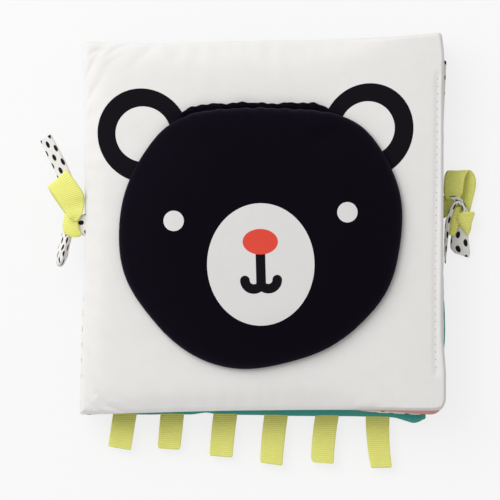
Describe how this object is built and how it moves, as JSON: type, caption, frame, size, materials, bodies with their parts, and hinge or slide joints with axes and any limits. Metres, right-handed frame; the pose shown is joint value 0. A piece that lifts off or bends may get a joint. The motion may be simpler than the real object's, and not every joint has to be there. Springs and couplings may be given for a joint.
{
  "type": "soft activity book",
  "caption": "Padded cloth baby book that folds in a zig-zag, with a bear head pocket on the cover, ribbon loops along its lower seam and ribbon ties at its sides.",
  "frame": {"origin": "middle of the flat underside of the back page, where the closed book rests", "axes": "+Z out of the cover, +Y towards the top of the page, +X to the reader's right"},
  "size_m": [0.2344, 0.2354, 0.0452],
  "materials": {
    "cover_cloth": "matt off-white plain weave",
    "teal_cloth": "matt teal plain weave",
    "dotted_cloth": "matt off-white plain weave with black dots",
    "coral_cloth": "matt coral plain weave",
    "bear_cloth": "black satin-faced weave with a soft blue sheen",
    "batting": "white polyester fibre",
    "crinkle_film": "thin crackling film",
    "black_print": "black ink on cloth",
    "white_print": "unprinted white cloth",
    "red_print": "red ink on cloth",
    "lime_ribbon": "ribbed grosgrain ribbon",
    "dotted_strap": "off-white cotton strap with black dots"
  },
  "bodies": {
    "back_page": {"back_outer_cloth": "cover_cloth", "back_face_cloth": "teal_cloth", "back_batting": "batting", "back_fold_strip": "dotted_cloth", "tie_right_ribbon": "lime_ribbon", "tie_right_ribbon_tail": "lime_ribbon", "tie_right_ribbon_root": "lime_ribbon", "tie_right_knot": "lime_ribbon", "tie_right_strap": "dotted_strap", "tie_right_strand": "dotted_strap"},
    "middle_page": {"middle_back_cloth": "dotted_cloth", "middle_face_cloth": "dotted_cloth", "middle_batting": "batting", "crinkle_film": "crinkle_film", "middle_fold_strip_left": "dotted_cloth", "middle_fold_strip_right": "dotted_cloth"},
    "front_page": {"front_lining_cloth": "coral_cloth", "front_cover_cloth": "cover_cloth", "front_batting": "batting", "front_fold_strip": "cover_cloth", "head_pocket_lining": "bear_cloth", "head_back_cloth": "bear_cloth", "head_batting": "batting", "head_face_cloth": "bear_cloth", "ear_print_left": "black_print", "ear_print_right": "black_print", "eye_print_left": "white_print", "eye_print_right": "white_print", "muzzle_print": "white_print", "nose_print": "red_print", "mouth_print": "black_print", "tie_left_ribbon": "lime_ribbon", "tie_left_ribbon_tail": "lime_ribbon", "tie_left_knot": "lime_ribbon", "tie_left_strap": "dotted_strap", "tie_left_strap_loop": "dotted_strap", "tie_left_strap_root": "dotted_strap"},
    "tag_1": {"ribbon_tag_1": "lime_ribbon"},
    "tag_2": {"ribbon_tag_2": "lime_ribbon"},
    "tag_3": {"ribbon_tag_3": "lime_ribbon"},
    "tag_4": {"ribbon_tag_4": "lime_ribbon"},
    "tag_5": {"ribbon_tag_5": "lime_ribbon"},
    "tag_6": {"ribbon_tag_6": "lime_ribbon"}
  },
  "joints": [
    {"name": "middle_page_turn", "type": "hinge", "parent": "back_page", "child": "middle_page", "pos_m": [-0.0976, 0, 0.0098], "axis": [0, -1, 0], "range_deg": [0, 180]},
    {"name": "front_page_turn", "type": "hinge", "parent": "middle_page", "child": "front_page", "pos_m": [0.0982, 0, 0.0198], "axis": [0, 1, 0], "range_deg": [0, 180]},
    {"name": "tag_1_bend", "type": "hinge", "parent": "back_page", "child": "tag_1", "pos_m": [-0.07411, -0.10269, 0.0048], "axis": [1, 0, 0], "range_deg": [-90, 90], "stiffness_Nm_per_rad": 0.002},
    {"name": "tag_2_bend", "type": "hinge", "parent": "back_page", "child": "tag_2", "pos_m": [-0.0486, -0.1028, 0.0048], "axis": [1, 0, 0], "range_deg": [-90, 90], "stiffness_Nm_per_rad": 0.002},
    {"name": "tag_3_bend", "type": "hinge", "parent": "back_page", "child": "tag_3", "pos_m": [-0.02018, -0.1032, 0.0048], "axis": [1, 0, 0], "range_deg": [-90, 90], "stiffness_Nm_per_rad": 0.002},
    {"name": "tag_4_bend", "type": "hinge", "parent": "back_page", "child": "tag_4", "pos_m": [0.00698, -0.10383, 0.0048], "axis": [1, 0, 0], "range_deg": [-90, 90], "stiffness_Nm_per_rad": 0.002},
    {"name": "tag_5_bend", "type": "hinge", "parent": "back_page", "child": "tag_5", "pos_m": [0.03424, -0.1046, 0.0048], "axis": [1, 0, 0], "range_deg": [-90, 90], "stiffness_Nm_per_rad": 0.002},
    {"name": "tag_6_bend", "type": "hinge", "parent": "back_page", "child": "tag_6", "pos_m": [0.0614, -0.10572, 0.0048], "axis": [1, 0, 0], "range_deg": [-90, 90], "stiffness_Nm_per_rad": 0.002}
  ]
}
